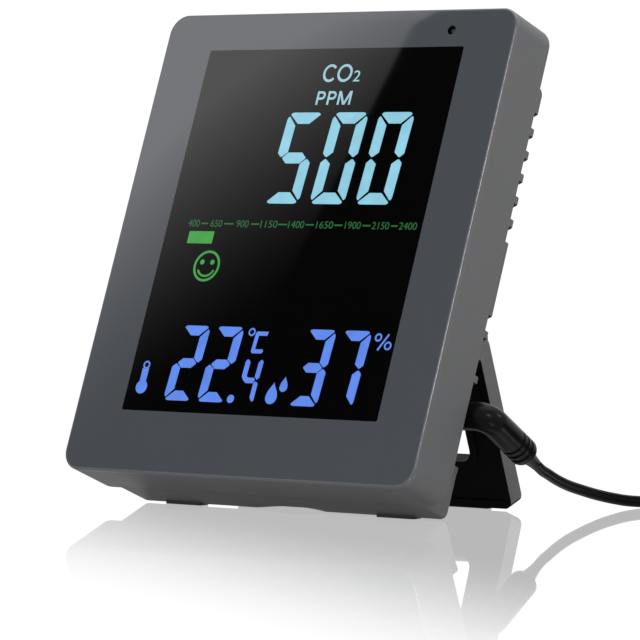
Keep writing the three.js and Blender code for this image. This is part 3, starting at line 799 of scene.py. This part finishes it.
gas_digits = big_digit(-12.05, "afgcd") + big_digit(5.85, "abcdef") + big_digit(23.75, "abcdef")
shown("reading_gas", CYAN, gas_digits)
shown(
    "gas_label",
    PALE_CYAN,
    shapes=[
        stroke(ellipse_arc(1.2, 133.9, 2.35, 2.6, 42, 318), 0.85),
        stroke(ellipse_arc(7.0, 133.9, 2.5, 2.6, 0, 359), 0.85),
        *letter_p(-1.85),
        *letter_p(2.45),
        *letter_m(6.6),
    ],
    texts=[("2", 10.7, 13.3, 131.0, 134.7)],
)
SCALE = [
    ("400", -41.3, -36.7), ("650", -32.2, -27.6), ("900", -21.8, -16.9),
    ("1150", -12.1, -5.4), ("1400", -1.0, 5.2), ("1650", 10.0, 16.5),
    ("1900", 21.2, 27.3), ("2150", 31.7, 38.2), ("2400", 42.0, 48.8),
]
DASHES = [
    (-36.0, -33.3), (-26.7, -23.0), (-15.9, -12.7), (-5.0, -1.5),
    (5.9, 9.0), (17.0, 20.1), (28.0, 31.0), (39.0, 41.5),
]
shown(
    "scale_row",
    DIM_GREEN,
    shapes=[[(a, 82.8), (b, 82.8), (b, 83.3), (a, 83.3)] for a, b in DASHES],
    texts=[(text, a, b, 81.9, 84.3) for text, a, b in SCALE],
)
shown("level_bar", GREEN, shapes=[outline(10.1, 4.1, 0.25, -34.95, 78.35, 3)])
shown(
    "comfort_face",
    GREEN,
    shapes=[
        circle(-31.8, 70.1, 0.85, 20),
        circle(-27.7, 70.1, 0.85, 20),
        stroke(arc_points(-29.65, 68.9, 3.45, 205, 335, 20), 0.7),
    ],
    rings=[(-29.7, 68.8, 5.2, 4.4)],
)
shown(
    "reading_temperature",
    BLUE,
    shapes=small_digit(-33.5, "abged")
    + small_digit(-20.0, "abged")
    + SMALL_FOUR
    + [circle(-7.3, 25.4, 1.35)],
)
shown(
    "unit_celsius",
    BLUE,
    shapes=[CELSIUS],
    rings=[(-5.1, 47.4, 1.35, 0.8)],
)
shown(
    "thermometer",
    BLUE,
    shapes=[
        arc_points(-44.1, 28.1, 2.25, 124, 416, 26)
        + [(-42.8, 34.4), (-43.4, 34.1), (-44.05, 34.0), (-44.7, 34.1), (-45.35, 34.4)],
    ],
    rings=[(-44.05, 35.4, 1.35, 0.8)],
)
shown("humidity_drops", BLUE, shapes=[drop(8.35, 26.5, 2.2, 31.3), drop(12.25, 29.9, 1.5, 33.3)])
shown("reading_humidity", BLUE, small_digit(16.2, "abgcd") + small_digit(29.75, "abc"))
shown(
    "percent_sign",
    BLUE,
    shapes=[stroke([(44.7, 42.9), (47.9, 48.1)], 0.65)],
    rings=[(44.1, 47.0, 1.35, 0.75), (48.3, 44.4, 1.4, 0.8)],
)


# ---- Front shell ----
def front_shell():
    """The frame behind the panel: one wall all round, folded in behind the border."""
    bm = bmesh.new()
    front = LENS + 0.06
    width, height, cx, cz = WINDOW
    inner = (WIDTH - 2 * WALL, HEIGHT - 2 * WALL, CORNER - WALL)
    middle = HEIGHT / 2
    path = [(width, height, 0.7, cz, front)]
    path += [(WIDTH - 2 * i, HEIGHT - 2 * i, CORNER - i, middle, y) for y, i in
             ((front, 0.15), (front + 0.05, 0.06), (front + 0.15, 0), (18.3, 0),
              (18.7, 0.08), (18.92, 0.25), (19.0, 0.55))]
    path += [(*inner, middle, 19.0), (*inner, middle, 4.0), (width, height, 0.7, cz, 4.0)]
    rings = []
    for w, h, r, z, y in path:
        rings.append([(x, y, up) for x, up in outline(w, h, r, 0, z, 16)])
    skin(bm, rings, loop=True)
    for x, z in ((-61.5, 147.5), (61.5, 147.5), (-50, 7.5), (50, 7.5)):
        boss = [(0, 3.5), (3.5, 3.5), (3.5, 13.7), (3.2, 14), (1.6, 14), (1.6, 6), (0, 6)]
        turned(bm, boss, (x, 0, z), (0, 1, 0), 28)
    return bm


finish_mesh(
    "shell_moulding", front_shell(), HOUSING, "housing", [CHARCOAL], ["front_shell"]
)


# ---- Rear cover ----
SEAM = SHELL_DEPTH + GAP
EDGE_R = 2.5
RIB_SLOTS = [(130.2 - 7.55 * i, 44) for i in range(6)] + [(63.3 - 7.3 * i, 52) for i in range(4)]
CASE_SCREWS = ((-61.5, 147.5), (61.5, 147.5), (-50, 7.5), (50, 7.5))
BOARD_SCREWS = ((-38, 75.5), (38, 75.5), (-38, 131.5), (38, 131.5))


def hump(bm):
    """The deep part of the cover, rounded along its rear edges and at both sides."""
    def ring(x, inset):
        r = EDGE_R - 0.6 * inset
        y1, z0, z1 = BACK - inset, inset, HUMP_TOP - inset
        points = [(SEAM - 0.8, z0)]
        for i in range(9):
            a = -math.pi / 2 + math.pi / 2 * i / 8
            points.append((y1 - r + r * math.cos(a), z0 + r + r * math.sin(a)))
        for i in range(9):
            a = math.pi / 2 * i / 8
            points.append((y1 - r + r * math.cos(a), z1 - r + r * math.sin(a)))
        points.append((SEAM - 0.8, z1))
        return [(x, y, z) for y, z in points]

    steps = [(math.pi / 2 * i / 5) for i in range(6)]
    left = [(-HUMP_X + 1.5 * (1 - math.cos(a)), 1.5 * (1 - math.sin(a))) for a in steps]
    rings = [ring(x, inset) for x, inset in left]
    rings += [ring(-x, inset) for x, inset in reversed(left)]
    skin(bm, rings)


def rib_slot(bm, side, z, reach):
    """A slot between two ribs, opening out towards the side and the back."""
    inner, outer = side * reach, side * (HUMP_X + 2)
    edge = side * (HUMP_X - 2.2)
    half = 1.5
    rings = []
    for x, grow in ((inner, 0), (edge, 0), (outer, 2.0)):
        low, high = z - half - grow, z + half + grow
        rings.append(
            [
                (x, SEAM + 0.9, low), (x, BACK - 1.2, low), (x, BACK + 2, low - 1.6),
                (x, BACK + 2, high + 1.6), (x, BACK - 1.2, high), (x, SEAM + 0.9, high),
            ]
        )
    skin(bm, rings)


def rear_cover():
    base = solid(
        loft, WIDTH - 2 * WALL - 2 * GAP, HEIGHT - 2 * WALL - 2 * GAP, CORNER - WALL, 0, HEIGHT / 2,
        [(17.2, 0), (SHELL_DEPTH - 0.15, 0), (SHELL_DEPTH, 0.15)],
    )
    add, cut = "UNION", "DIFFERENCE"
    steps = [
        (add, solid(block, -HUMP_X + 1, HUMP_X - 1, SHELL_DEPTH - 0.5, SEAM + 0.5, 4.5, HUMP_TOP - 1)),
        (add, solid(hump)),
        (cut, solid(block, -HUMP_X + 2, HUMP_X - 2, 16, BACK - 2, WALL + 3, HUMP_TOP - 2)),
        (add, solid(block, 51.5, HUMP_X - 0.2, SHELL_DEPTH - 1, BACK - 0.5, 15, 41)),
    ]
    for x, z in CASE_SCREWS:
        top = 18.5 if z > 75 else BACK - 0.5
        steps.append((add, solid(turned, [(4.2, 14.3), (4.2, top)], (x, 0, z), (0, 1, 0))))
    for x, z in BOARD_SCREWS:
        steps.append((add, solid(turned, [(3, 22), (3, BACK - 1)], (x, 0, z), (0, 1, 0), 24)))
    for side in (-1, 1):
        x = side * 45
        steps.append((add, solid(turned, [(3, -1.5), (3, 1.5)], (x, *HINGE), (1, 0, 0), 40)))
        steps.append((add, solid(block, x - 1.5, x + 1.5, BACK - 1, HINGE[0], HINGE[1] - 3, HINGE[1] + 3)))
    steps.append((cut, solid(block, 53.5, HUMP_X + 5, SEAM + 0.6, BACK + 5, 17, 39)))
    steps.append((cut, solid(turned, [(3.2, -5), (3.2, 5)], (53.5, JACK_Y, JACK_Z), (1, 0, 0))))
    for x, z in CASE_SCREWS:
        steps.append((cut, solid(turned, [(3.2, 16.6), (3.2, BACK + 5)], (x, 0, z), (0, 1, 0))))
        steps.append((cut, solid(turned, [(1.7, 10), (1.7, 20)], (x, 0, z), (0, 1, 0), 24)))
    for x in (-16, 0, 16):
        steps.append((cut, solid(loft, 11, 7, 3.4, x, BUTTON_Z, [(BACK - 5, 0), (BACK + 1, 0)])))
    for side in (-1, 1):
        for z, reach in RIB_SLOTS:
            steps.append((cut, solid(rib_slot, side, z, reach)))
    steps.append((cut, solid(turned, [(67, -4.5), (67, 4.5)], (0, BACK - 1, -65.4), (0, 1, 0), 160)))
    steps.append((cut, solid(turned, [(1.5, -80), (1.5, 80)], (0, *HINGE), (1, 0, 0), 24)))
    bm = soften(carve(base, steps), 0.4, 2)
    # Painted shade: the upper and lower faces inside the side slots take the near-black painted-shade finish
    # instead of the cover's charcoal.
    for face in bm.faces:
        at = face.calc_center_median()
        for z, reach in RIB_SLOTS:
            in_slot = abs(at.x) > reach - 0.5 and abs(at.z - z) < 3.4 and at.y > SEAM + 0.6
            if in_slot and abs(face.normal.z) > 0.5:
                face.material_index = 1
    return bm


cover_finishes = [CHARCOAL, PAINTED_SHADE_BLACK]
finish_mesh(
    "back_moulding", rear_cover(), HOUSING, "housing", cover_finishes, ["rear_cover"]
)


# ---- Buttons ----
def button(x):
    bm = bmesh.new()
    rows = [(BACK - 3.2, 0), (BACK + 0.3, 0), (BACK + 0.68, 0.1), (BACK + 0.9, 0.32), (BACK + 1, 0.65)]
    rows += [(BACK + 0.97, 0.95), (BACK + 0.85, 1.5), (BACK + 0.76, 2.2)]
    loft(bm, 10.2, 6.2, 3, x, BUTTON_Z, rows, 10)
    loft(bm, 13, 9, 3, x, BUTTON_Z, [(BACK - 3.5, 0), (BACK - 2.3, 0)], 8)
    turned(bm, [(1.6, 27.9), (1.6, BACK - 3)], (x, 0, BUTTON_Z), (0, 1, 0), 20)
    return bm


for number, x in ((1, -16), (2, 0), (3, 16)):
    body = f"button_{number}"
    finish_mesh(f"key_{number}", button(x), HOUSING, body, [CHARCOAL_SMOOTH], [body])

# ---- Stand ----
HALF = 3
REACH = 56.288


def stand_body():
    add, cut = "UNION", "DIFFERENCE"
    half_width = 54.5
    low, high = -REACH + 15.5, -REACH + 42
    middle = (low + high) / 2
    rim = half_width - 2.4
    frame_size = (2 * 42.5 + 5.6, high - low + 5.6, 6, 0, middle)
    base = solid(loft, 2 * half_width, REACH, 3, 0, -REACH / 2, [(-HALF, 0), (HALF, 0)], 8)
    steps = [
        (cut, solid(block, -rim, rim, -HALF + 2.5, HALF + 1, -REACH + 2.6, -4.5)),
        (cut, solid(block, -rim, rim, -HALF - 1, -HALF + 0.4, -REACH + 2.6, -4.5)),
        (add, solid(loft, *frame_size, [(-HALF, 0), (HALF, 0)], 10)),
        (add, solid(turned, [(HALF, -half_width), (HALF, half_width)], (0, 0, 0), (1, 0, 0), 48)),
    ]
    for x in (-48, 48):
        steps.append((add, solid(block, x - 0.8, x + 0.8, -HALF + 1, HALF - 1, -REACH + 2, -4)))
    steps.append((cut, solid(loft, 85, high - low, 4, 0, middle, [(-HALF - 1, 0), (HALF + 1, 0)], 10)))
    for side in (-1, 1):
        x = side * 45
        steps.append((cut, solid(block, x - 1.9, x + 1.9, -10, 10, -4.4, 10)))
    # The slanted cut that gives the foot its bevelled rear edge.
    slope = math.radians(-33)
    sine, cosine = math.sin(slope), math.cos(slope)
    corners = []
    for x in (-200, 200):
        ring = []
        for y, z in ((0, 0), (20, 0), (20, -20), (0, -20)):
            ring.append((x, HALF - 4.2 + y * cosine - z * sine, -REACH + y * sine + z * cosine))
        corners.append(ring)
    steps.append((cut, solid(lambda bm: skin(bm, corners))))
    steps.append((cut, solid(turned, [(1.5, -51), (1.5, 51)], (0, 0, 0), (1, 0, 0), 24)))
    bm = soften(carve(base, steps), 0.3, 2)
    # Painted shade: every face of the stand except its outer sides takes the near-black painted-shade finish.
    for face in bm.faces:
        middle = face.calc_center_median()
        if abs(middle.x) < half_width - 0.35 and middle.y < HALF - 0.4:
            face.material_index = 1
    return bm


finish_mesh(
    "stand_moulding", stand_body(), STAND, "stand", [CHARCOAL, PAINTED_SHADE_BLACK], ["stand"]
)


# ---- Plug ----
def plug():
    """One moulding: a short leg into the jack, a tight elbow and a ribbed handle."""
    bm = bmesh.new()
    radius = 4.5
    bend = 4.6
    start = 53.5 + GAP
    down = Vector((0, math.cos(DROOP), -math.sin(DROOP)))
    right = Vector((1, 0, 0))
    across = right.cross(down)
    hub = Vector((ELBOW_X - bend, JACK_Y, JACK_Z)) + down * bend
    stations = [(Vector((start, JACK_Y, JACK_Z)), right, radius - 0.3)]
    stations.append((Vector((start + 0.3, JACK_Y, JACK_Z)), right, radius))
    for i in range(13):
        a = math.pi / 2 * i / 12
        centre = hub + bend * (right * math.sin(a) - down * math.cos(a))
        stations.append((centre, right * math.cos(a) + down * math.sin(a), radius))
    grooves = []
    for start_at in (14.6, 17.1, 19.6):
        grooves += [(start_at, 0), (start_at + 0.2, -0.45), (start_at + 0.9, -0.45), (start_at + 1.1, 0)]
    rounded_end = [(22.3, 0), (23.1, -0.35), (23.6, -0.85), (23.9, -1.5), (24.0, -2.2)]
    profile = [(8.0, 0), (12.0, 0.02), *grooves, *rounded_end]
    elbow = Vector((ELBOW_X, JACK_Y, JACK_Z))
    for distance, change in profile:
        stations.append((elbow + down * distance, down, radius + change))
    rings = []
    for centre, direction, r in stations:
        side = across
        other = direction.cross(side)
        turn = [2 * math.pi * i / 48 for i in range(48)]
        rings.append([centre + (side * math.cos(t) + other * math.sin(t)) * r for t in turn])
    skin(bm, rings)
    return bm


def plug_relief():
    bm = bmesh.new()
    down = Vector((0, math.cos(DROOP), -math.sin(DROOP)))
    elbow = Vector((ELBOW_X, JACK_Y, JACK_Z))
    across = Vector((1, 0, 0))
    other = down.cross(across)
    rings = []
    # Distance along the handle, and half the width and thickness there: round, then as flat as the lead.
    taper = ((23.7, 2.7, 2.7), (24.6, 2.65, 2.5), (26.5, 2.35, 1.9), (28.6, 2.05, 1.45), (30.0, 1.95, 1.3))
    for distance, wide, thick in taper:
        centre = elbow + down * distance
        turn = [2 * math.pi * i / 36 for i in range(36)]
        rings.append([centre + other * wide * math.cos(t) + across * thick * math.sin(t) for t in turn])
    skin(bm, rings)
    return bm


finish_mesh(
    "plug_moulding", plug(), HOUSING, "housing", [PLUG_BLACK], ["dc_plug_body"], sharp=60
)
finish_mesh(
    "plug_sleeve", plug_relief(), HOUSING, "housing", [JACKET], ["plug_strain_relief"]
)

# ---- CAD nodes that stay ----
KEPT = {
    "display_filter": WINDOW_BLACK,
    "segment_module": WHITE_PLASTIC,
    "status_led": WHITE_PLASTIC,
    "gas_membrane": WHITE_PLASTIC,
    "gas_chamber": GOLD,
    "dc_plug_barrel": NICKEL,
}
FAMILIES = (
    (("display_screw", "case_screw", "board_screw", "hinge_pin"), STEEL),
    (("display_board", "main_board", "sensor_board", "climate_board"), BOARD),
    (("board_connector", "buzzer", "controller_chip"), BLACK_PLASTIC),
    (("climate_sensor", "dc_jack", "button_switch"), BLACK_PLASTIC),
    (("capacitor",), NICKEL),
    (("housing_foot", "stand_foot"), RUBBER),
)
for name, obj in frame["nodes"].items():
    finish = KEPT.get(name)
    for starts, material in FAMILIES:
        if name.startswith(starts):
            finish = material
    if finish:
        obj.data.materials.clear()
        obj.data.materials.append(finish)


# ---- Studio ----
WHITE = 1.04
TABLE_LIGHT = 0.62
MIRROR = 0.54


def floor():
    bm = bmesh.new()
    for x, y in ((-8, -8), (8, -8), (8, 8), (-8, 8)):
        bm.verts.new((x, y, 0))
    bm.faces.new(bm.verts)
    mesh = bpy.data.meshes.new("floor")
    bm.to_mesh(mesh)
    bm.free()
    material = bpy.data.materials.new("floor_white")
    material.use_nodes = True
    tree = material.node_tree
    tree.nodes.remove(tree.nodes["Principled BSDF"])
    # A lit white table that mirrors the object where it stands, and fades out in front of it.
    place = node(tree, "SeparateXYZ", {0: node(tree, "TexCoord").outputs["Object"]})
    slant = {0: place.outputs[0], 1: 0.5, 2: place.outputs[1]}
    slanted = node(tree, "Math", slant, operation="MULTIPLY_ADD")
    fade = {"Value": slanted.outputs[0], "From Min": -0.205, "From Max": -0.03, "To Max": MIRROR}
    mirror = node(tree, "MapRange", fade, interpolation_type="SMOOTHSTEP")
    # The table looks white, and gives the underside of the object less light than that.
    seen = node(tree, "LightPath").outputs["Is Camera Ray"]
    strength = node(tree, "MapRange", {"Value": seen, "To Min": TABLE_LIGHT, "To Max": WHITE})
    lit = node(tree, "Emission", {"Color": (1, 1, 1, 1), "Strength": strength.outputs["Result"]})
    gloss = node(tree, "BsdfAnisotropic", {"Color": (1, 1, 1, 1), "Roughness": 0.02})
    mixed = node(tree, "MixShader", {0: mirror.outputs["Result"], 1: lit.outputs[0], 2: gloss.outputs[0]})
    tree.links.new(mixed.outputs[0], tree.nodes["Material Output"].inputs["Surface"])
    mesh.materials.append(material)
    made = bpy.data.objects.new("floor", mesh)
    bpy.context.scene.collection.objects.link(made)


def reflection_card():
    """A dark card that the front panel mirrors, lit along one slanted side as by a window blind."""
    normal = (HOUSING.to_3x3() @ Vector((0, -1, 0))).normalized()

    def mirrored(x, z):
        point = HOUSING @ Vector((x, 0, z))
        ray = (point - CAMERA_AT).normalized()
        return point, ray - 2 * ray.dot(normal) * normal

    middle, away = mirrored(0, 77.5)
    plane = middle + away * 1.0
    bm = bmesh.new()
    uv = bm.loops.layers.uv.new("face")
    xs = [-170 + 20 * i for i in range(18)]
    zs = [-90 + 20 * i for i in range(18)]
    grid = []
    for z in zs:
        row = []
        for x in xs:
            point, ray = mirrored(x, z)
            row.append(bm.verts.new(point + ray * ((plane - point).dot(away) / ray.dot(away))))
        grid.append(row)
    for j in range(len(zs) - 1):
        for i in range(len(xs) - 1):
            places = ((i, j), (i + 1, j), (i + 1, j + 1), (i, j + 1))
            face = bm.faces.new([grid[b][a] for a, b in places])
            for loop, (a, b) in zip(face.loops, places):
                loop[uv].uv = (xs[a] / 100, zs[b] / 100)
    mesh = bpy.data.meshes.new("reflection_card")
    bm.to_mesh(mesh)
    bm.free()
    material = bpy.data.materials.new("card_light")
    material.use_nodes = True
    tree = material.node_tree
    tree.nodes.remove(tree.nodes["Principled BSDF"])
    place = node(tree, "SeparateXYZ", {0: node(tree, "UVMap", uv_map="face").outputs[0]})

    def maths(operation, a, b, clamp=False):
        return node(tree, "Math", {0: a, 1: b}, operation=operation, use_clamp=clamp).outputs[0]

    x, z = place.outputs[0], place.outputs[1]
    # How bright the mirrored light looks, as a display value from 0 to 1.
    height = maths("MULTIPLY", maths("SUBTRACT", z, 0.12), 71.7 / 255)
    across = maths("MULTIPLY", maths("ADD", x, 0.46), 55 / 255)
    value = maths("MINIMUM", maths("MAXIMUM", maths("SUBTRACT", height, across), 0.0), 80 / 255)
    edge = maths("ADD", maths("MULTIPLY", maths("SUBTRACT", z, 1.21), 0.305), 0.21)
    lit = maths("MULTIPLY", maths("SUBTRACT", edge, x), 90.0, clamp=True)
    shown_value = maths("MAXIMUM", maths("MULTIPLY", value, lit), 0.012)
    light = maths("MULTIPLY", maths("POWER", shown_value, 2.2), 1 / 0.047)
    glow = node(tree, "Emission", {"Color": (1.0, 1.0, 1.0, 1), "Strength": light})
    tree.links.new(glow.outputs[0], tree.nodes["Material Output"].inputs["Surface"])
    mesh.materials.append(material)
    card = bpy.data.objects.new("reflection_card", mesh)
    bpy.context.scene.collection.objects.link(card)
    card.visible_camera = False
    card.visible_diffuse = False
    card.visible_shadow = False


def area_light(name, at, aim, size, power):
    lamp = bpy.data.lights.new(name, "AREA")
    lamp.shape = "RECTANGLE"
    lamp.size, lamp.size_y = size
    lamp.energy = power
    holder = bpy.data.objects.new(name, lamp)
    holder.location = at
    holder.rotation_euler = (Vector(aim) - Vector(at)).to_track_quat("-Z", "Y").to_euler()
    bpy.context.scene.collection.objects.link(holder)


floor()
reflection_card()
area_light("overhead", (0.1, 0.3, 1.7), (0, 0, 0), (1.6, 1.6), 15)
area_light("right_box", (1.25, -0.75, 0.85), (0, 0, 0.08), (0.2, 0.3), 5)
area_light("rear_box", (1.2, 0.65, 0.85), (0, 0, 0.08), (0.2, 0.3), 4)
world = bpy.data.worlds.new("studio")
world.use_nodes = True
world.node_tree.nodes["Background"].inputs["Color"].default_value = (1, 1, 1, 1)
world.node_tree.nodes["Background"].inputs["Strength"].default_value = WHITE
bpy.context.scene.world = world
